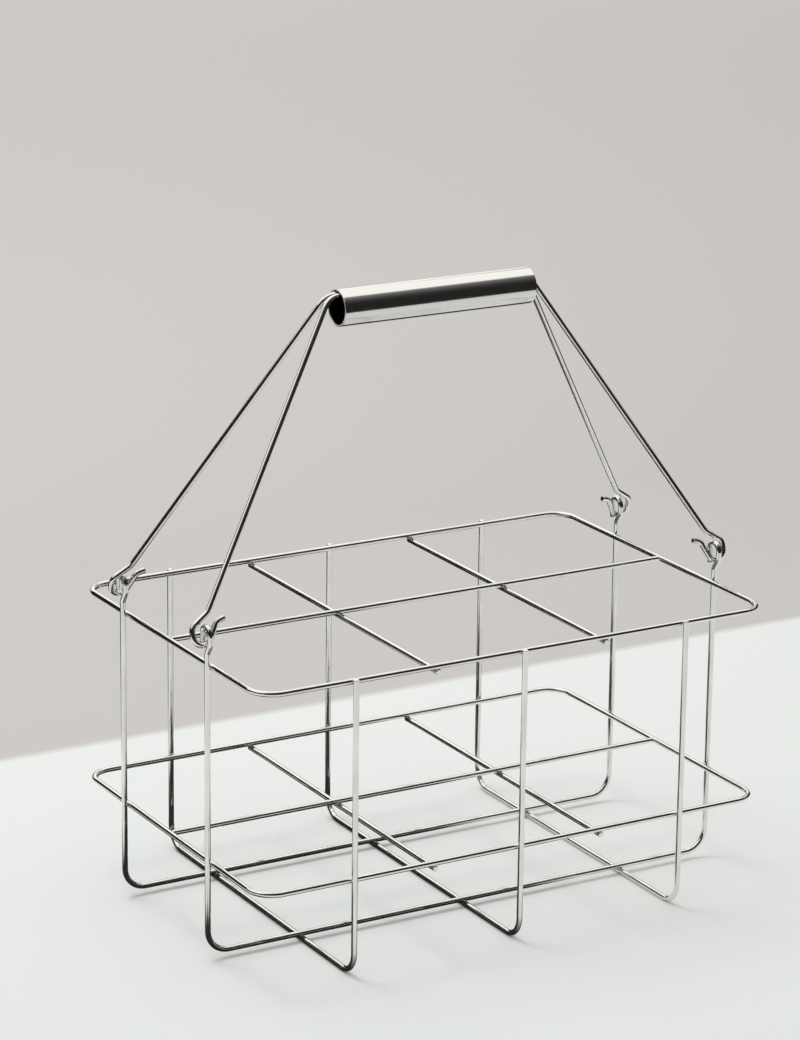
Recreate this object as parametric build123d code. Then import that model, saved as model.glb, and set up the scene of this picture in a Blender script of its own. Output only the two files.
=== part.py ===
from build123d import *
import math
import os

# Wire bottle caddy for six bottles: a welded basket of round steel wire, carried by two wire bails that
# share one tubular grip. Sizes are in millimetres. X runs along the caddy, Y across it and Z up. The
# origin is on the table, under the middle of the basket. Wire sizes are taken along the wire's centre.

# Wire stock
wire_diameter = 3.0
cut_end_round = 0.35
weld_sink = 0.2
fit_gap = 0.3
same_place = 0.001

# Rings: the two rounded hoops that go round the bottles
ring_length = 302.0
ring_width = 201.0
ring_corner_radius = 13.0
lower_ring_height = 52.8
upper_ring_height = 159.2

# Dividers: straight wires that part each ring into six cells
cross_divider_spacing = 100.6

# Cradles: the U-shaped wires under the bottles
cross_cradle_spacing = 98.7
long_cradle_spacing = 96.6
cradle_bend_radius = 12.0

# Eyes: the loops at the top of the long cradles, one at each end
eye_bend_radius = 4.2
eye_rise = 17.1
eye_shift = 0.5
eye_side_rise = 13.0
eye_side_radius = 4.0
eye_neck_rise = 7.3
eye_neck_radius = 4.0
eye_tail_rise = 9.3
eye_tail_gap = 0.2

# Hooks: the open loops at the feet of the bails, measured from the wire where it goes through the eye
hook_reach = 6.8
hook_shoulder_rise = 9.4
hook_collar_rise = 16.1
hook_collar_inset = 3.2
hook_toe_inset = 1.6
hook_knee_inset = 7.2
hook_knee_rise = 10.8
hook_tip_inset = 11.9
hook_tip_rise = 12.1
hook_collar_radius = 8.0
hook_shoulder_radius = 4.5
hook_heel_radius = 5.0
hook_toe_radius = 4.0
hook_knee_radius = 5.0

# Bails: the two handle wires
bail_top_height = 330.0
bail_top_length = 119.0
bail_bend_radius = 11.0

# Grip: the open tube that the bails run through
grip_diameter = 19.5
grip_wall = 1.0
grip_length = 115.0
grip_rim_round = 0.3
grip_slide_offset = 3.4

# Places that follow from the sizes above
wire_radius = wire_diameter / 2
weld_pitch = wire_diameter - weld_sink
cross_cradle_floor = wire_radius
long_cradle_floor = cross_cradle_floor + weld_pitch
long_cradle_reach = ring_length / 2 + weld_pitch
cross_cradle_reach = ring_width / 2 + weld_pitch
eye_height = upper_ring_height + eye_rise
eye_neck_height = upper_ring_height + eye_neck_rise
eye_tail_pitch = wire_diameter + eye_tail_gap
bail_top_offset = (wire_diameter + fit_gap) / 2
grip_bore_radius = grip_diameter / 2 - grip_wall
grip_hang_radius = grip_bore_radius - wire_radius - fit_gap
grip_height = bail_top_height - math.sqrt(grip_hang_radius**2 - bail_top_offset**2)

# The eye's two sides lean out from its neck. The bail's wire rests between them, clear of each.
eye_side_drop = eye_side_rise - eye_neck_rise
leg_side_lean = math.atan2(eye_bend_radius - eye_shift, eye_side_drop)
tail_side_lean = math.atan2(eye_bend_radius + eye_shift - eye_tail_pitch, eye_side_drop)
leg_side_cosine = math.cos(leg_side_lean)
tail_side_cosine = math.cos(tail_side_lean)
seat_pitch = wire_diameter + fit_gap
seat_spread = seat_pitch * (leg_side_cosine + tail_side_cosine)
neck_spread = eye_tail_pitch * leg_side_cosine * tail_side_cosine
seat_rise = (seat_spread - neck_spread) / math.sin(leg_side_lean + tail_side_lean)
pivot_height = eye_neck_height + seat_rise
pivot_shift = (seat_pitch - seat_rise * math.sin(leg_side_lean)) / leg_side_cosine


def bent_path(corners, radii):
    """A wire's centre line through the corners, with each inner corner bent to its own radius."""
    points = [Vector(*corner) for corner in corners]
    edges = []
    reached = points[0]
    for before, corner, after, radius in zip(points, points[1:], points[2:], radii):
        back = (before - corner).normalized()
        ahead = (after - corner).normalized()
        half_angle = math.radians(back.get_angle(ahead)) / 2
        setback = radius / math.tan(half_angle)
        start = corner + back * setback
        finish = corner + ahead * setback
        middle = corner + (back + ahead).normalized() * (radius / math.sin(half_angle) - radius)
        if (start - reached).length > same_place:
            edges.append(Line(reached, start))
        edges.append(ThreePointArc(start, middle, finish))
        reached = finish
    edges.append(Line(reached, points[-1]))
    return Wire(edges)


def wire_along(path):
    """Round wire swept along a path."""
    section = Plane(origin=path @ 0, z_dir=path % 0) * Circle(wire_radius)
    return sweep(section, path=path)


def straight_wire(start, finish):
    """Round wire cut square at both ends."""
    return wire_along(Wire([Line(start, finish)]))


def with_eased_ends(wire):
    """The wire with the sharp rim of each cut end rounded off."""
    rims = wire.faces().filter_by(GeomType.PLANE).edges()
    return fillet(rims, cut_end_round)


def ring(height):
    """A closed hoop, level at the given height."""
    outline = Plane.XY.offset(height) * RectangleRounded(ring_length, ring_width, ring_corner_radius)
    return wire_along(outline.face().outer_wire())


def long_divider(height):
    """The wire down the middle of a ring, butted between the ring's two ends."""
    reach = ring_length / 2 - weld_pitch / 2
    return straight_wire((-reach, 0, height), (reach, 0, height))


def cross_divider(height, place):
    """A wire across a ring, welded under it and cut flush with its outside."""
    reach = ring_width / 2 + wire_radius
    level = height - weld_pitch
    return with_eased_ends(straight_wire((place, -reach, level), (place, reach, level)))


def cross_cradle(place):
    """A U-shaped wire across the basket: its bottom is a foot, its legs stand outside the rings."""
    top = upper_ring_height + wire_radius
    corners = [
        (place, -cross_cradle_reach, top),
        (place, -cross_cradle_reach, cross_cradle_floor),
        (place, cross_cradle_reach, cross_cradle_floor),
        (place, cross_cradle_reach, top),
    ]
    return with_eased_ends(wire_along(bent_path(corners, [cradle_bend_radius] * 2)))


def eye_corners(x, y):
    """Corners of the loop that tops a long cradle's leg, from its cut tail round to the leg itself."""
    tail_side = y + eye_shift + eye_bend_radius
    tail_end = tail_side - (eye_side_rise - eye_tail_rise) * math.tan(tail_side_lean)
    leg_side = y + eye_shift - eye_bend_radius
    sides = upper_ring_height + eye_side_rise
    top = eye_height + eye_bend_radius
    return [
        (x, tail_end, upper_ring_height + eye_tail_rise),
        (x, tail_side, sides),
        (x, tail_side, top),
        (x, leg_side, top),
        (x, leg_side, sides),
        (x, y, eye_neck_height),
    ]


def long_cradle(place):
    """A U-shaped wire along the basket, with an eye at the top of each leg."""
    left = eye_corners(-long_cradle_reach, place)
    right = eye_corners(long_cradle_reach, place)
    floor = [(-long_cradle_reach, place, long_cradle_floor), (long_cradle_reach, place, long_cradle_floor)]
    eye_radii = [eye_side_radius, eye_bend_radius, eye_bend_radius, eye_side_radius, eye_neck_radius]
    radii = eye_radii + [cradle_bend_radius] * 2 + eye_radii[::-1]
    return with_eased_ends(wire_along(bent_path(left + floor + right[::-1], radii)))


def hook_profile():
    """Corners of a hook as (outboard, up) from the eye, from the flared tip round to the leg."""
    return [
        (-hook_tip_inset, hook_tip_rise),
        (-hook_knee_inset, hook_knee_rise),
        (-hook_toe_inset, 0),
        (hook_reach, 0),
        (hook_reach, hook_shoulder_rise),
        (-hook_collar_inset, hook_collar_rise),
    ]


def bail(side):
    """A handle wire. It hooks through the two eyes of one long cradle and leans in to the grip."""
    pivot_y = side * long_cradle_spacing / 2 + pivot_shift
    top_y = side * bail_top_offset
    foot = Vector(0, pivot_y, pivot_height)
    slope = Vector(0, top_y, bail_top_height) - foot
    rise = slope.normalized()

    def on_bail(x, up):
        return tuple(foot + Vector(x, 0, 0) + rise * up)

    left = [on_bail(-long_cradle_reach - out, up) for out, up in hook_profile()]
    right = [on_bail(long_cradle_reach + out, up) for out, up in hook_profile()]
    top = [on_bail(-bail_top_length / 2, slope.length), on_bail(bail_top_length / 2, slope.length)]
    hook_radii = [
        hook_knee_radius,
        hook_toe_radius,
        hook_heel_radius,
        hook_shoulder_radius,
        hook_collar_radius,
    ]
    radii = hook_radii + [bail_bend_radius] * 2 + hook_radii[::-1]
    return with_eased_ends(wire_along(bent_path(left + top + right[::-1], radii)))


def grip():
    """The open tube that hangs on both bails, with softened rims."""
    outside = Circle(grip_diameter / 2)
    bore = Circle(grip_bore_radius)
    start = Plane(origin=(grip_slide_offset - grip_length / 2, 0, grip_height), z_dir=(1, 0, 0))
    tube = extrude(start * (outside - bore), grip_length)
    rims = tube.edges().filter_by(GeomType.CIRCLE)
    return fillet(rims, grip_rim_round)


def build_nodes():
    """Every piece of the caddy, by the name of its node."""
    nodes = {}
    for level, height in (("lower", lower_ring_height), ("upper", upper_ring_height)):
        nodes[f"{level}_ring"] = ring(height)
        nodes[f"{level}_long_divider"] = long_divider(height)
        for side, sign in (("left", -1), ("right", 1)):
            place = sign * cross_divider_spacing / 2
            nodes[f"{level}_{side}_cross_divider"] = cross_divider(height, place)
    for name, step in (("left", -1), ("middle", 0), ("right", 1)):
        nodes[f"{name}_cross_cradle"] = cross_cradle(step * cross_cradle_spacing)
    for name, side in (("front", -1), ("back", 1)):
        nodes[f"{name}_long_cradle"] = long_cradle(side * long_cradle_spacing / 2)
        nodes[f"{name}_bail"] = bail(side)
    nodes["grip"] = grip()
    return nodes


os.makedirs("parts", exist_ok=True)
for name, piece in build_nodes().items():
    export_step(piece, f"parts/{name}.step")
print(f"pivots at y {pivot_shift - long_cradle_spacing / 2:.3f} and {pivot_shift + long_cradle_spacing / 2:.3f}")
print(f"pivot height {pivot_height:.3f}, grip axis height {grip_height:.3f}")
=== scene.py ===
import math
import bpy
from mathutils import Matrix, Vector


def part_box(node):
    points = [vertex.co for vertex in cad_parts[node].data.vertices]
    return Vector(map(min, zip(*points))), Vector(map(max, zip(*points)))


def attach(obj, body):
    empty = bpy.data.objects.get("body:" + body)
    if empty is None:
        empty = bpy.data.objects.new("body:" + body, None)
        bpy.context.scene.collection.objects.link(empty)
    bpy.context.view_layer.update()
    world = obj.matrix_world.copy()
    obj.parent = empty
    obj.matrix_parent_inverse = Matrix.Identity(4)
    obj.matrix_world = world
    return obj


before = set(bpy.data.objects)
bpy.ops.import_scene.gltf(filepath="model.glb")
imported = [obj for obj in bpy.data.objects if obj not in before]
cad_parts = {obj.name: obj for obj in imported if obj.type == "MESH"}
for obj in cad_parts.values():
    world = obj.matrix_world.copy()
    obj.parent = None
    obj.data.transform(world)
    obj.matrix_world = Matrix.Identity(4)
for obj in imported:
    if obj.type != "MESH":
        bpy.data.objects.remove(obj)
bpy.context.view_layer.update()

bl_info = {
    "name": "Wire Bottle Caddy",
    "version": (1, 0, 0),
    "blender": (4, 5, 0),
    "location": "View3D > Sidebar > Caddy",
    "description": "Finishes the six-bottle wire caddy: polished steel, its welds, and a plain studio",
    "category": "Object",
}

# Names of the nodes, the unit and the axes
LEVELS = ("lower", "upper")
SIDES = ("left", "right")
RINGS = tuple(f"{level}_ring" for level in LEVELS)
LONG_DIVIDERS = tuple(f"{level}_long_divider" for level in LEVELS)
CROSS_DIVIDERS = tuple(f"{level}_{side}_cross_divider" for level in LEVELS for side in SIDES)
CROSS_CRADLES = ("left_cross_cradle", "middle_cross_cradle", "right_cross_cradle")
LONG_CRADLES = ("front_long_cradle", "back_long_cradle")
BAILS = ("front_bail", "back_bail")
MM = 0.001
X_AXIS, Y_AXIS, Z_AXIS = Vector((1, 0, 0)), Vector((0, 1, 0)), Vector((0, 0, 1))

# Steels: the fine lines per metre along X, Y and Z, the shift of the pattern, and the nodes they are for
WIRE_STEELS = {
    "ring_steel": ((300, 300, 2600), (0, 0, 0), RINGS),
    "long_divider_steel": ((30, 2600, 2600), (3, 0, 0), LONG_DIVIDERS),
    "cross_divider_steel": ((2600, 30, 2600), (0, 5, 0), CROSS_DIVIDERS),
    "cross_cradle_steel": ((2600, 60, 60), (7, 0, 0), CROSS_CRADLES),
    "long_cradle_steel": ((60, 2600, 60), (0, 9, 0), LONG_CRADLES),
    "bail_steel": ((120, 2600, 120), (0, 0, 11), BAILS),
}
GRIP_LINES = (2200, 60, 60)
GRIP_SHIFT = (13, 0, 0)

# Between these lie most values of a cloudy pattern
NOISE_LOW, NOISE_HIGH = 0.35, 0.65

# Patterns of the polished steel: scales per metre, depths in metres, and what they add to the roughness
SHADE_SCALE = 60
DENT_SCALE = 90
DENT_DEPTH = 0.00006
DENT_STRENGTH = 0.35
LINE_DEPTH = 0.00001
LINE_STRENGTH = 0.25
LINE_ROUGHNESS = 0.05
SMEAR_SCALE = 240
SMEAR_RANGE = (0.5, 0.8)
SMEAR_ROUGHNESS = 0.04

# Patterns of the welds' steel
WELD_TINT_SCALE = 500
RIPPLE_SCALE = 1600
RIPPLE_DEPTH = 0.00008
RIPPLE_STRENGTH = 0.5
WELD_ROUGHNESS = (0.16, 0.32)

# Shape of a weld: sides of the round forms it starts from, and the smoothing of its melted skin
ROUND_SIDES = 32
POOL_RINGS = 16
SKIN_SMOOTHING = {"factor": 0.5, "iterations": 14}
SHADING_ANGLE = math.radians(40)

# Floor: a pale ellipse with a soft rim, cut off by a straight far edge, all in metres
FLOOR_SIDES = 96
FLOOR_RADIUS = 12
POOL_MIDDLE = (0.15, -0.45, 0)
POOL_REACH = (1.4, 1.1, 1)
POOL_RIM = (0.97, 1.05)
FAR_EDGE = (0.266, 0.275)
# Painted light beyond the far edge: the duller paper is painted lighter with depth, making up for the
# lamps' falloff. These are the depths of that ramp and how much lighter it ends
PAINTED_LIGHT_DEPTHS = (0.6, 2.8)
PAINTED_LIGHT_GAIN = 1.5

# Painted reflection of shade: rectangles of the floor painted dark for the steel's reflections only. Two
# corners, and how soft the sides are
REFLECTED_SHADE_PATCHES = (
    ((-0.20, -0.10), (0.045, 0.14), 0.03),
    ((-0.12, 0.17), (0.35, 0.30), 0.02),
    ((-1.5, 0.285), (1.5, 0.73), 0.01),
)
# Colour of the painted shade that the steel's reflections see in those rectangles
REFLECTED_SHADE = 0.03

# Lamps: width and depth, place, and turn about X, Y and Z
OVERHEAD_LAMP = ((2.8, 2.0), (0.25, 0.62, 1.75), (0, 0, 0))
BACK_LAMP = ((3.4, 1.8), (0.0, 2.4, 1.54), (math.radians(-90), 0, 0))
SIDE_LAMP = ((1.3, 2.1), (-1.9, 0.85, 1.95), (0, math.radians(-90), 0))
KEY_LAMP_SIZE = (0.5, 0.5)
KEY_LAMP_PLACE = Vector((-0.35, 0.55, 1.7))

# Dark cards: width and height, middle, and turn about Z
DARK_CARDS = {
    "left_card": ((0.9, 1.0), (-0.85, 1.2, 0.5), 0),
    "right_card": ((0.9, 0.4), (0.75, -0.1, 0.2), math.radians(90)),
    "side_card": ((2.9, 1.25), (-1.9, 0.25, 0.625), math.radians(90)),
    "back_card": ((1.5, 0.13), (-0.2, 0.45, 0.065), 0),
}
CARD_SHADE = 0.022
FRONT_CARD = ((4.6, 3.0), (0.7, -0.72, 1.5), 0)
FRONT_FADE_HEIGHTS = (0.6, 2.8)
FRONT_FADE_SHADES = (0.025, 0.65)
FRONT_FADE_CURVE = 1.7

# World and camera
FILL_COLOUR = (0.98, 0.99, 1.0)
SENSOR_WIDTH = 36.0
CLIP_START, CLIP_END = 0.05, 60.0


def middle_of(node):
    """The middle of a node's box."""
    low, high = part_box(node)
    return (low + high) / 2


def wire_radius():
    """Half the thickness of the wire stock, read from a straight divider."""
    low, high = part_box("upper_left_cross_divider")
    return (high.x - low.x) / 2


def half_pitch():
    """Half the distance between the middles of two welded wires, a little less than the radius."""
    return (middle_of("upper_ring").z - middle_of("upper_left_cross_divider").z) / 2


def ring_lines(level):
    """Where a ring's wire runs: its half length, half width and height, to the middle of the wire."""
    low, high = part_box(f"{level}_ring")
    radius = wire_radius()
    return high.x - radius, high.y - radius, (low.z + high.z) / 2


# Settings


class CaddySteelSettings(bpy.types.PropertyGroup):
    """Colours and finish of the polished steel"""

    wire_colour: bpy.props.FloatVectorProperty(
        name="Wire colour", description="Colour of the polished wire",
        subtype="COLOR", size=3, min=0.0, max=1.0, default=(0.86, 0.855, 0.84))
    wire_shade: bpy.props.FloatVectorProperty(
        name="Wire shade", description="Colour of the duller patches on the wire",
        subtype="COLOR", size=3, min=0.0, max=1.0, default=(0.77, 0.76, 0.74))
    grip_colour: bpy.props.FloatVectorProperty(
        name="Grip colour", description="Colour of the polished tube",
        subtype="COLOR", size=3, min=0.0, max=1.0, default=(0.76, 0.752, 0.735))
    weld_colour: bpy.props.FloatVectorProperty(
        name="Weld colour", description="Colour of the welds, a little darker than the wire",
        subtype="COLOR", size=3, min=0.0, max=1.0, default=(0.58, 0.565, 0.54))
    wire_roughness: bpy.props.FloatProperty(
        name="Wire roughness", description="Roughness of the wire where it is brightest",
        subtype="FACTOR", min=0.0, max=1.0, default=0.07)
    grip_roughness: bpy.props.FloatProperty(
        name="Grip roughness", description="Roughness of the tube where it is brightest",
        subtype="FACTOR", min=0.0, max=1.0, default=0.10)


class CaddyWeldSettings(bpy.types.PropertyGroup):
    """Size of the welds where wires cross or meet"""

    pool_radius: bpy.props.FloatProperty(
        name="Pool radius", description="Radius of the melted spot between two wires, in millimetres",
        min=0.5, max=1.5, default=1.25)
    reach: bpy.props.FloatProperty(
        name="Reach", description="How far a weld follows each wire from the crossing, in millimetres",
        min=1.8, max=4.0, default=2.4)
    fineness: bpy.props.FloatProperty(
        name="Fineness",
        description="Size of the cells that the weld is melted together from, in millimetres",
        min=0.1, max=0.4, default=0.18)


class CaddyStudioSettings(bpy.types.PropertyGroup):
    """Floor, lamps and camera"""

    floor_colour: bpy.props.FloatVectorProperty(
        name="Floor colour", description="Colour of the plain floor round the caddy",
        subtype="COLOR", size=3, min=0.0, max=1.0, default=(0.845, 0.862, 0.828))
    distance_colour: bpy.props.FloatVectorProperty(
        name="Distance colour", description="Colour of the floor away from the caddy",
        subtype="COLOR", size=3, min=0.0, max=1.0, default=(0.615, 0.59, 0.555))
    backdrop_colour: bpy.props.FloatVectorProperty(
        name="Backdrop colour", description="Colour behind and above the floor",
        subtype="COLOR", size=3, min=0.0, max=1.0, default=(0.60, 0.575, 0.54))
    fill_strength: bpy.props.FloatProperty(
        name="Fill strength", description="Even light from all round",
        min=0.0, max=2.0, default=0.62)
    lamp_power: bpy.props.FloatProperty(
        name="Lamp power", description="Power of the large soft lamp overhead",
        subtype="POWER", unit="POWER", min=0.0, default=10.6)
    back_lamp_power: bpy.props.FloatProperty(
        name="Back lamp power", description="Power of the soft lamp at the back, seen in the steel only",
        subtype="POWER", unit="POWER", min=0.0, default=11.6)
    side_lamp_power: bpy.props.FloatProperty(
        name="Side lamp power", description="Power of the soft lamp on the left, seen in the steel only",
        subtype="POWER", unit="POWER", min=0.0, default=3.9)
    key_lamp_power: bpy.props.FloatProperty(
        name="Key lamp power", description="Power of the smaller lamp that casts the shadows",
        subtype="POWER", unit="POWER", min=0.0, default=6.4)
    lens: bpy.props.FloatProperty(
        name="Lens", description="Focal length of the camera in millimetres",
        min=10.0, default=131.31)
    camera_place: bpy.props.FloatVectorProperty(
        name="Camera place", description="Where the camera stands",
        subtype="TRANSLATION", unit="LENGTH", size=3, default=(-0.97584, -1.65399, 0.78121))
    camera_yaw: bpy.props.FloatProperty(
        name="Camera yaw", description="Turn of the camera from the Y axis towards the X axis",
        subtype="ANGLE", unit="ROTATION", default=math.radians(30.155))
    camera_pitch: bpy.props.FloatProperty(
        name="Camera pitch", description="Tilt of the camera below the horizon",
        subtype="ANGLE", unit="ROTATION", default=math.radians(16.784))
    camera_roll: bpy.props.FloatProperty(
        name="Camera roll", description="Turn of the camera about its own line of sight",
        subtype="ANGLE", unit="ROTATION", default=math.radians(0.734))


# Materials


class Nodes:
    """A material's node tree, with short calls to add and link nodes."""

    def __init__(self, name):
        self.material = bpy.data.materials.new(name)
        self.material.use_nodes = True
        self.tree = self.material.node_tree
        self.shader = self.tree.nodes["Principled BSDF"]
        place = self.add("ShaderNodeTexCoord")
        self.place = place.outputs["Object"]

    def add(self, kind, **values):
        """A new node, with its properties set."""
        node = self.tree.nodes.new(kind)
        for name, value in values.items():
            setattr(node, name, value)
        return node

    def link(self, start, finish):
        """A link from an output to an input."""
        self.tree.links.new(start, finish)

    def mapped(self, scale, shift=(0, 0, 0)):
        """The surface's own place, stretched and shifted."""
        mapping = self.add("ShaderNodeMapping")
        mapping.inputs["Scale"].default_value = scale
        mapping.inputs["Location"].default_value = shift
        self.link(self.place, mapping.inputs["Vector"])
        return mapping.outputs["Vector"]

    def along(self, axis):
        """The surface's own place along one axis."""
        parts = self.add("ShaderNodeSeparateXYZ")
        self.link(self.place, parts.inputs["Vector"])
        return parts.outputs[axis]

    def noise(self, place, detail=2.0, roughness=0.5):
        """A cloudy pattern, about one cloud to a unit of the place."""
        noise = self.add("ShaderNodeTexNoise")
        noise.inputs["Scale"].default_value = 1.0
        noise.inputs["Detail"].default_value = detail
        noise.inputs["Roughness"].default_value = roughness
        self.link(place, noise.inputs["Vector"])
        return noise.outputs["Fac"]

    def ranged(self, value, low, high, start=NOISE_LOW, finish=NOISE_HIGH):
        """A value brought from start..finish to low..high."""
        node = self.add("ShaderNodeMapRange")
        node.inputs["From Min"].default_value = start
        node.inputs["From Max"].default_value = finish
        node.inputs["To Min"].default_value = low
        node.inputs["To Max"].default_value = high
        self.link(value, node.inputs["Value"])
        return node.outputs["Result"]

    def blended(self, factor, first, second):
        """Two colours mixed by a factor. Each is a colour, or the output of a node."""
        mix = self.add("ShaderNodeMix", data_type="RGBA")
        sockets = [socket for socket in mix.inputs if socket.type == "RGBA"]
        for socket, colour in zip(sockets, (first, second)):
            if isinstance(colour, bpy.types.NodeSocket):
                self.link(colour, socket)
            else:
                socket.default_value = (*colour, 1)
        self.link(factor, mix.inputs["Factor"])
        return next(out for out in mix.outputs if out.type == "RGBA")

    def reckoned(self, operation, first, second):
        """Two values added, multiplied or compared."""
        node = self.add("ShaderNodeMath", operation=operation)
        self.link(first, node.inputs[0])
        self.link(second, node.inputs[1])
        return node.outputs["Value"]

    def patch(self, low, high, soft):
        """One inside a level rectangle and nothing outside it, with soft sides."""
        bands = []
        for axis, start, finish in zip("XY", low, high):
            value = self.along(axis)
            rising = self.ranged(value, 0, 1, start - soft, start)
            falling = self.ranged(value, 1, 0, finish, finish + soft)
            bands.append(self.reckoned("MULTIPLY", rising, falling))
        return self.reckoned("MULTIPLY", *bands)

    def bumped(self, height, distance, strength, under=None):
        """A relief of the height, over another relief if one is given."""
        bump = self.add("ShaderNodeBump")
        bump.inputs["Strength"].default_value = strength
        bump.inputs["Distance"].default_value = distance
        self.link(height, bump.inputs["Height"])
        if under is not None:
            self.link(under, bump.inputs["Normal"])
        return bump.outputs["Normal"]


def polished_steel(name, colour, shade, roughness, lines, shift):
    """Polished steel: soft patches of shade, fine lines, a few smears, and small dents."""
    nodes = Nodes(name)
    shader = nodes.shader
    shader.inputs["Metallic"].default_value = 1.0
    patches = nodes.noise(nodes.mapped((SHADE_SCALE,) * 3, shift), detail=3.0)
    tinted = nodes.blended(nodes.ranged(patches, 0, 1), colour, shade)
    nodes.link(tinted, shader.inputs["Base Color"])
    drawn = nodes.noise(nodes.mapped(lines, shift), detail=3.0, roughness=0.6)
    smeared = nodes.noise(nodes.mapped((SMEAR_SCALE,) * 3, shift))
    rough = nodes.reckoned(
        "ADD",
        nodes.ranged(drawn, roughness, roughness + LINE_ROUGHNESS),
        nodes.ranged(smeared, 0, SMEAR_ROUGHNESS, *SMEAR_RANGE))
    nodes.link(rough, shader.inputs["Roughness"])
    dents = nodes.noise(nodes.mapped((DENT_SCALE,) * 3, shift), detail=1.0)
    relief = nodes.bumped(dents, DENT_DEPTH, DENT_STRENGTH)
    relief = nodes.bumped(drawn, LINE_DEPTH, LINE_STRENGTH, relief)
    nodes.link(relief, shader.inputs["Normal"])
    return nodes.material


def weld_steel(name, colour, shade):
    """The melted steel of a weld: rippled and a little duller than the wire."""
    nodes = Nodes(name)
    shader = nodes.shader
    shader.inputs["Metallic"].default_value = 1.0
    tint = nodes.noise(nodes.mapped((WELD_TINT_SCALE,) * 3))
    nodes.link(nodes.blended(nodes.ranged(tint, 0, 1), colour, shade), shader.inputs["Base Color"])
    ripples = nodes.noise(nodes.mapped((RIPPLE_SCALE,) * 3), detail=3.0, roughness=0.6)
    nodes.link(nodes.ranged(ripples, *WELD_ROUGHNESS), shader.inputs["Roughness"])
    nodes.link(nodes.bumped(ripples, RIPPLE_DEPTH, RIPPLE_STRENGTH), shader.inputs["Normal"])
    return nodes.material


def matt_paper(name):
    """Paper with no gloss, whose colour is still to be set."""
    nodes = Nodes(name)
    nodes.shader.inputs["Roughness"].default_value = 1.0
    nodes.shader.inputs["Specular IOR Level"].default_value = 0.0
    return nodes


def dark_paper(name):
    """The dark paper of a card."""
    nodes = matt_paper(name)
    nodes.shader.inputs["Base Color"].default_value = (CARD_SHADE, CARD_SHADE, CARD_SHADE, 1)
    return nodes.material


def faded_paper(name):
    """Paper that fades upwards from dark to light, slowly at first."""
    nodes = matt_paper(name)
    dark, light = FRONT_FADE_SHADES
    share = nodes.ranged(nodes.along("Z"), 0, 1, *FRONT_FADE_HEIGHTS)
    curve = nodes.add("ShaderNodeMath", operation="POWER")
    nodes.link(share, curve.inputs[0])
    curve.inputs[1].default_value = FRONT_FADE_CURVE
    faded = nodes.blended(curve.outputs["Value"], (dark,) * 3, (light,) * 3)
    nodes.link(faded, nodes.shader.inputs["Base Color"])
    return nodes.material


def floor_paper(name, near_colour, distance_colour):
    """Pale paper up to a rim and a straight far edge, duller beyond and painted lighter with depth there,
    which is painted light for the lamps' falloff, with patches painted dark that only reflections see, a
    painted reflection of shade.
    """
    nodes = matt_paper(name)
    pool = nodes.add("ShaderNodeMapping", vector_type="TEXTURE")
    pool.inputs["Location"].default_value = POOL_MIDDLE
    pool.inputs["Scale"].default_value = POOL_REACH
    nodes.link(nodes.place, pool.inputs["Vector"])
    distance = nodes.add("ShaderNodeVectorMath", operation="LENGTH")
    nodes.link(pool.outputs["Vector"], distance.inputs[0])
    rounded = nodes.ranged(distance.outputs["Value"], 0, 1, *POOL_RIM)
    depth = nodes.along("Y")
    straight = nodes.ranged(depth, 0, 1, *FAR_EDGE)
    beyond = nodes.reckoned("MAXIMUM", rounded, straight)
    # Painted light: the far paper grows lighter with depth, making up for the lamps' light falling off
    painted_far_light = tuple(min(1.0, value * PAINTED_LIGHT_GAIN) for value in distance_colour)
    distant_with_painted_light = nodes.blended(nodes.ranged(depth, 0, 1, *PAINTED_LIGHT_DEPTHS), distance_colour, painted_far_light)
    seen = nodes.blended(beyond, near_colour, distant_with_painted_light)
    under, beside, behind = (nodes.patch(*patch) for patch in REFLECTED_SHADE_PATCHES)
    near = nodes.reckoned("MAXIMUM", under, beside)
    patches = nodes.reckoned("MAXIMUM", near, behind)
    # Painted reflection: the rectangles are dark only to glossy rays, standing in for shade under and
    # behind the basket, while the camera sees plain paper
    rays = nodes.add("ShaderNodeLightPath")
    darker = nodes.reckoned("MULTIPLY", patches, rays.outputs["Is Glossy Ray"])
    paper = nodes.blended(darker, seen, (REFLECTED_SHADE,) * 3)
    nodes.link(paper, nodes.shader.inputs["Base Color"])
    return nodes.material


def paint(node, material):
    """Gives a node its material in place of the one it came with."""
    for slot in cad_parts[node].material_slots:
        slot.material = material


class CADDY_OT_steel(bpy.types.Operator):
    """Gives the wires and the grip their polished steel"""

    bl_idname = "caddy.steel"
    bl_label = "Polish Steel"

    def execute(self, context):
        look = context.scene.caddy_steel
        shade = tuple(look.wire_shade)
        for name, (lines, shift, nodes) in WIRE_STEELS.items():
            steel = polished_steel(name, tuple(look.wire_colour), shade, look.wire_roughness, lines, shift)
            for node in nodes:
                paint(node, steel)
        grip_steel = polished_steel(
            "grip_steel", tuple(look.grip_colour), shade, look.grip_roughness, GRIP_LINES, GRIP_SHIFT)
        paint("grip", grip_steel)
        weld_steel("weld_steel", tuple(look.weld_colour), shade)
        return {"FINISHED"}


# Welds


def only(thing):
    """Selects one object alone and makes it active."""
    bpy.ops.object.select_all(action="DESELECT")
    thing.select_set(True)
    bpy.context.view_layer.objects.active = thing


def apply_modifier(thing, kind, **values):
    """Adds a modifier, sets it and applies it."""
    only(thing)
    modifier = thing.modifiers.new(kind.title(), kind)
    for name, value in values.items():
        setattr(modifier, name, value)
    bpy.ops.object.modifier_apply(modifier=modifier.name)


def joined(things, name):
    """Several objects made one, under a name."""
    bpy.ops.object.select_all(action="DESELECT")
    for thing in things:
        thing.select_set(True)
    bpy.context.view_layer.objects.active = things[0]
    bpy.ops.object.join()
    things[0].name = name
    things[0].data.name = name
    return things[0]


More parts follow.
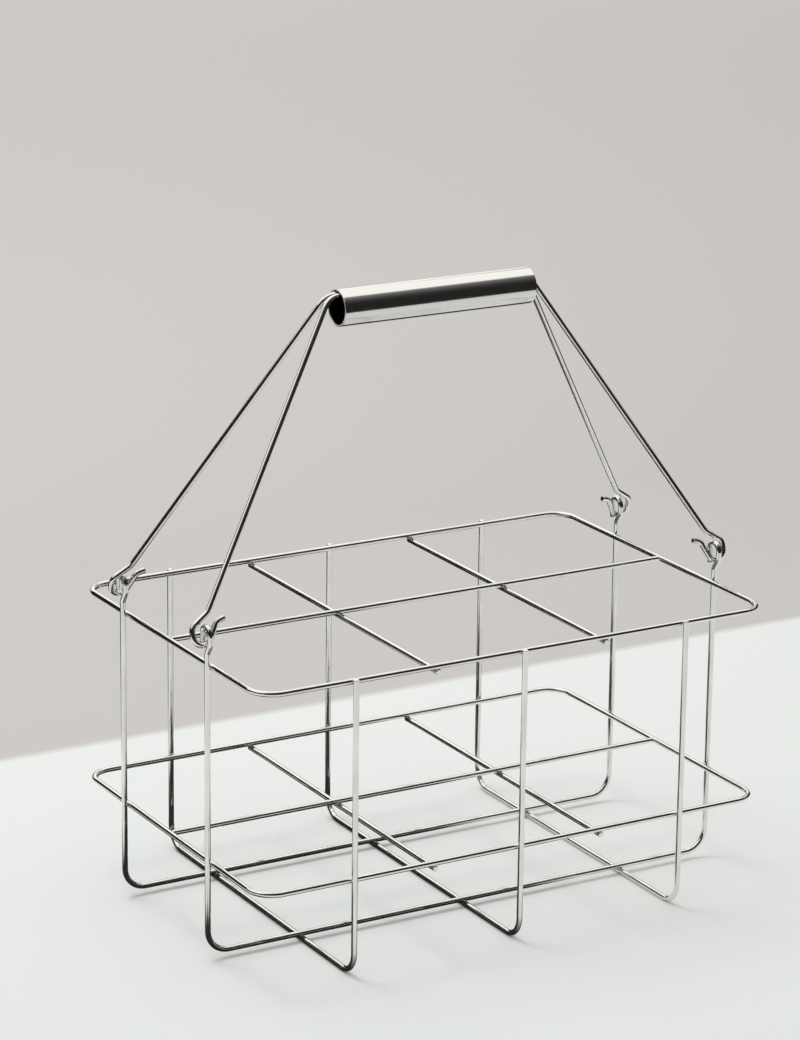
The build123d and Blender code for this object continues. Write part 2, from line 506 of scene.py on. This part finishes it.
def stub(axis, start, finish, centre, radius):
    """A short length of wire along an axis, from start to finish, in millimetres."""
    turn = Z_AXIS.rotation_difference(axis).to_euler()
    middle = centre + axis * (start + finish) / 2
    bpy.ops.mesh.primitive_cylinder_add(
        vertices=ROUND_SIDES, radius=radius, depth=finish - start, location=middle, rotation=turn)
    return bpy.context.active_object


def weld_master(name, lower_axis, lower_finish, lower_centre):
    """A weld, in millimetres, between a wire along X and another wire, melted together and smoothed."""
    settings = bpy.context.scene.caddy_weld
    reach = settings.reach
    radius = wire_radius() / MM
    upper = stub(X_AXIS, -reach, reach, Vector((0, 0, half_pitch() / MM)), radius)
    lower = stub(lower_axis, -reach, lower_finish, lower_centre, radius)
    bpy.ops.mesh.primitive_uv_sphere_add(
        segments=ROUND_SIDES, ring_count=POOL_RINGS, radius=settings.pool_radius)
    pool = bpy.context.active_object
    weld = joined([upper, lower, pool], name)
    bpy.ops.object.transform_apply(location=True, rotation=True, scale=True)
    apply_modifier(weld, "REMESH", mode="VOXEL", voxel_size=settings.fineness, use_smooth_shade=True)
    apply_modifier(weld, "SMOOTH", **SKIN_SMOOTHING)
    return weld


def trimmed(weld, height, outward):
    """Cuts a weld off at a level, so that the part beyond it, inside the wire, is gone."""
    only(weld)
    bpy.ops.object.mode_set(mode="EDIT")
    bpy.ops.mesh.select_all(action="SELECT")
    bpy.ops.mesh.bisect(
        plane_co=(0, 0, height), plane_no=(0, 0, outward), use_fill=True, clear_outer=True)
    bpy.ops.object.mode_set(mode="OBJECT")


def crossing_master(name, lower_finish):
    """A weld between a wire along X and one along Y under it, cut off at the middle of each wire."""
    half = half_pitch() / MM
    weld = weld_master(name, Y_AXIS, lower_finish, Vector((0, 0, -half)))
    trimmed(weld, half, 1)
    trimmed(weld, -half, -1)
    return weld


def placed(master, place, first_axis, normal):
    """A copy of a weld at a place. Its X comes to lie along first_axis, and its Z along the normal."""
    copy = master.copy()
    copy.data = master.data.copy()
    bpy.context.scene.collection.objects.link(copy)
    turn = Matrix((first_axis, normal.cross(first_axis), normal)).transposed().to_4x4()
    copy.data.transform(Matrix.Translation(place) @ turn @ Matrix.Scale(MM, 4))
    return copy


def finished_welds(copies, name):
    """Joins the copies of one weld, gives them the weld's steel and puts them on the basket."""
    piece = joined(copies, name)
    piece.data.materials.clear()
    piece.data.materials.append(bpy.data.materials["weld_steel"])
    only(piece)
    bpy.ops.object.shade_smooth_by_angle(angle=SHADING_ANGLE)
    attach(piece, "basket")


class CADDY_OT_divider_welds(bpy.types.Operator):
    """Adds the welds that hold the dividers in the rings"""

    bl_idname = "caddy.divider_welds"
    bl_label = "Divider Welds"

    def execute(self, context):
        half = half_pitch()
        through = crossing_master("divider_crossing_weld", context.scene.caddy_weld.reach)
        end = crossing_master("divider_end_weld", wire_radius() / MM)
        butt = weld_master("divider_butt_weld", Z_AXIS, 0, Vector())
        crossings, ends, butts = [], [], []
        for level in LEVELS:
            half_length, half_width, height = ring_lines(level)
            for side in SIDES:
                divider = middle_of(f"{level}_{side}_cross_divider")
                contact = (height + divider.z) / 2
                spot = Vector((divider.x, 0, contact))
                crossings.append(placed(through, spot, X_AXIS, Z_AXIS))
                for sign in (-1, 1):
                    spot = Vector((divider.x, sign * half_width, contact))
                    ends.append(placed(end, spot, X_AXIS * sign, Z_AXIS))
            for sign in (-1, 1):
                spot = Vector((sign * (half_length - half), 0, height))
                butts.append(placed(butt, spot, Y_AXIS, X_AXIS * sign))
        finished_welds(crossings, "divider_crossing_welds")
        finished_welds(ends, "divider_end_welds")
        finished_welds(butts, "divider_butt_welds")
        for master in (through, end, butt):
            bpy.data.objects.remove(master)
        return {"FINISHED"}


class CADDY_OT_cradle_welds(bpy.types.Operator):
    """Adds the welds between the cradles' legs and the rings, and where the cradles cross below"""

    bl_idname = "caddy.cradle_welds"
    bl_label = "Cradle Welds"

    def execute(self, context):
        radius = wire_radius()
        half = half_pitch()
        through = crossing_master("cradle_weld", context.scene.caddy_weld.reach)
        end = crossing_master("leg_end_weld", radius / MM)
        legs, ends, feet = [], [], []
        for level in LEVELS:
            half_length, half_width, height = ring_lines(level)
            for node in CROSS_CRADLES:
                place = middle_of(node).x
                for sign in (-1, 1):
                    spot = Vector((place, sign * (half_width + half), height))
                    if level == "upper":
                        ends.append(placed(end, spot, X_AXIS * sign, Y_AXIS * -sign))
                    else:
                        legs.append(placed(through, spot, X_AXIS, Y_AXIS * -sign))
            for node in LONG_CRADLES:
                place = middle_of(node).y
                for sign in (-1, 1):
                    spot = Vector((sign * (half_length + half), place, height))
                    legs.append(placed(through, spot, Y_AXIS, X_AXIS * -sign))
        for long_node in LONG_CRADLES:
            long_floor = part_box(long_node)[0].z + radius
            for cross_node in CROSS_CRADLES:
                cross_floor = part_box(cross_node)[0].z + radius
                contact = (long_floor + cross_floor) / 2
                spot = Vector((middle_of(cross_node).x, middle_of(long_node).y, contact))
                feet.append(placed(through, spot, X_AXIS, Z_AXIS))
        finished_welds(legs, "leg_welds")
        finished_welds(ends, "leg_end_welds")
        finished_welds(feet, "foot_welds")
        for master in (through, end):
            bpy.data.objects.remove(master)
        return {"FINISHED"}


# Studio


def soft_lamp(name, size, place, turn, power):
    """A large soft lamp that the camera doesn't see."""
    bpy.ops.object.select_all(action="DESELECT")
    bpy.ops.object.light_add(type="AREA", location=place, rotation=turn)
    lamp = bpy.context.active_object
    lamp.name = name
    lamp.data.shape = "RECTANGLE"
    lamp.data.size, lamp.data.size_y = size
    lamp.data.energy = power
    lamp.visible_camera = False
    return lamp


def upright_card(name, size, place, turn):
    """A plain upright card, turned about the vertical."""
    bpy.ops.object.select_all(action="DESELECT")
    bpy.ops.mesh.primitive_plane_add(size=1, location=place, rotation=(math.radians(90), 0, turn))
    card = bpy.context.active_object
    card.name = name
    card.dimensions = (*size, 0)
    bpy.ops.object.transform_apply(location=True, rotation=True, scale=True)
    return card


def reflected_only(thing, material):
    """Gives a card its paper, and lets it show as a reflection in the steel and nowhere else."""
    thing.data.materials.append(material)
    thing.visible_camera = False
    thing.visible_diffuse = False
    thing.visible_shadow = False


def add_floor(studio):
    """The wide round floor."""
    bpy.ops.object.select_all(action="DESELECT")
    bpy.ops.mesh.primitive_circle_add(vertices=FLOOR_SIDES, radius=FLOOR_RADIUS, fill_type="NGON")
    floor = bpy.context.active_object
    floor.name = "floor"
    near_colour, distance_colour = tuple(studio.floor_colour), tuple(studio.distance_colour)
    floor.data.materials.append(floor_paper("floor_paper", near_colour, distance_colour))


def add_lamps(studio):
    """The soft lamps. Two of them show in the steel and light nothing else, and the key casts shadows."""
    soft_lamp("overhead_soft_lamp", *OVERHEAD_LAMP, studio.lamp_power)
    back_lamp = soft_lamp("back_soft_lamp", *BACK_LAMP, studio.back_lamp_power)
    back_lamp.visible_diffuse = False
    side_lamp = soft_lamp("side_soft_lamp", *SIDE_LAMP, studio.side_lamp_power)
    side_lamp.visible_diffuse = False
    towards_caddy = KEY_LAMP_PLACE.to_track_quat("Z", "Y").to_euler()
    key_lamp = soft_lamp("key_lamp", KEY_LAMP_SIZE, KEY_LAMP_PLACE, towards_caddy, studio.key_lamp_power)
    key_lamp.visible_glossy = False


def add_cards():
    """The cards whose dark reflections draw the edges of the steel."""
    reflected_only(upright_card("front_card", *FRONT_CARD), faded_paper("front_card"))
    for name, card in DARK_CARDS.items():
        reflected_only(upright_card(name, *card), dark_paper(name))


def studio_world(studio):
    """Even light from all round, and the backdrop's colour wherever the eye or a reflection meets it."""
    world = bpy.data.worlds.new("studio_world")
    world.use_nodes = True
    tree = world.node_tree
    tree.nodes.clear()
    add, link = tree.nodes.new, tree.links.new
    fill = add("ShaderNodeBackground")
    fill.inputs["Color"].default_value = (*FILL_COLOUR, 1)
    fill.inputs["Strength"].default_value = studio.fill_strength
    seen = add("ShaderNodeBackground")
    seen.inputs["Color"].default_value = (*studio.backdrop_colour, 1)
    seen.inputs["Strength"].default_value = 1.0
    rays = add("ShaderNodeLightPath")
    share = rays.outputs["Is Camera Ray"]
    for kind in ("Is Glossy Ray", "Is Transmission Ray"):
        either = add("ShaderNodeMath")
        either.operation = "MAXIMUM"
        link(share, either.inputs[0])
        link(rays.outputs[kind], either.inputs[1])
        share = either.outputs["Value"]
    mix = add("ShaderNodeMixShader")
    link(share, mix.inputs["Fac"])
    link(fill.outputs["Background"], mix.inputs[1])
    link(seen.outputs["Background"], mix.inputs[2])
    output = add("ShaderNodeOutputWorld")
    link(mix.outputs["Shader"], output.inputs["Surface"])
    return world


def studio_camera(studio):
    """The camera, at the settings' place and turned by their three angles."""
    camera_data = bpy.data.cameras.new("camera")
    camera_data.sensor_width = SENSOR_WIDTH
    camera_data.lens = studio.lens
    camera_data.clip_start = CLIP_START
    camera_data.clip_end = CLIP_END
    camera = bpy.data.objects.new("camera", camera_data)
    bpy.context.scene.collection.objects.link(camera)
    yaw, pitch, roll = studio.camera_yaw, studio.camera_pitch, studio.camera_roll
    level = math.cos(pitch)
    ahead = Vector((math.sin(yaw) * level, math.cos(yaw) * level, -math.sin(pitch)))
    right = Vector((math.cos(yaw), -math.sin(yaw), 0))
    up = right.cross(ahead)
    rolled_right = right * math.cos(roll) + up * math.sin(roll)
    rolled_up = up * math.cos(roll) - right * math.sin(roll)
    turn = Matrix((rolled_right, rolled_up, -ahead)).transposed()
    camera.matrix_world = Matrix.Translation(Vector(studio.camera_place)) @ turn.to_4x4()
    return camera


class CADDY_OT_studio(bpy.types.Operator):
    """Adds the floor, the soft light, the dark cards and the camera"""

    bl_idname = "caddy.studio"
    bl_label = "Studio"

    def execute(self, context):
        studio = context.scene.caddy_studio
        add_floor(studio)
        add_lamps(studio)
        add_cards()
        context.scene.world = studio_world(studio)
        context.scene.camera = studio_camera(studio)
        context.scene.view_settings.view_transform = "Standard"
        return {"FINISHED"}


# Panel and registration


class CADDY_PT_panel(bpy.types.Panel):
    """The caddy's settings and steps"""

    bl_idname = "CADDY_PT_panel"
    bl_label = "Wire Bottle Caddy"
    bl_space_type = "VIEW_3D"
    bl_region_type = "UI"
    bl_category = "Caddy"

    def draw(self, context):
        layout = self.layout
        for group in (context.scene.caddy_steel, context.scene.caddy_weld, context.scene.caddy_studio):
            box = layout.box()
            for name in group.__annotations__:
                box.prop(group, name)
        for operator in OPERATORS:
            layout.operator(operator.bl_idname)


OPERATORS = (CADDY_OT_studio, CADDY_OT_steel, CADDY_OT_divider_welds, CADDY_OT_cradle_welds)
SETTINGS = {
    "caddy_steel": CaddySteelSettings,
    "caddy_weld": CaddyWeldSettings,
    "caddy_studio": CaddyStudioSettings,
}


def register():
    """Makes the settings, the steps and the panel known to Blender."""
    for cls in (*SETTINGS.values(), *OPERATORS, CADDY_PT_panel):
        bpy.utils.register_class(cls)
    for name, group in SETTINGS.items():
        setattr(bpy.types.Scene, name, bpy.props.PointerProperty(type=group))


def unregister():
    """Takes them away again."""
    for name in SETTINGS:
        delattr(bpy.types.Scene, name)
    for cls in (CADDY_PT_panel, *reversed(OPERATORS), *SETTINGS.values()):
        bpy.utils.unregister_class(cls)


def main():
    """Runs every step in order."""
    register()
    bpy.ops.caddy.studio()
    bpy.ops.caddy.steel()
    bpy.ops.caddy.divider_welds()
    bpy.ops.caddy.cradle_welds()


if __name__ == "__main__":
    main()
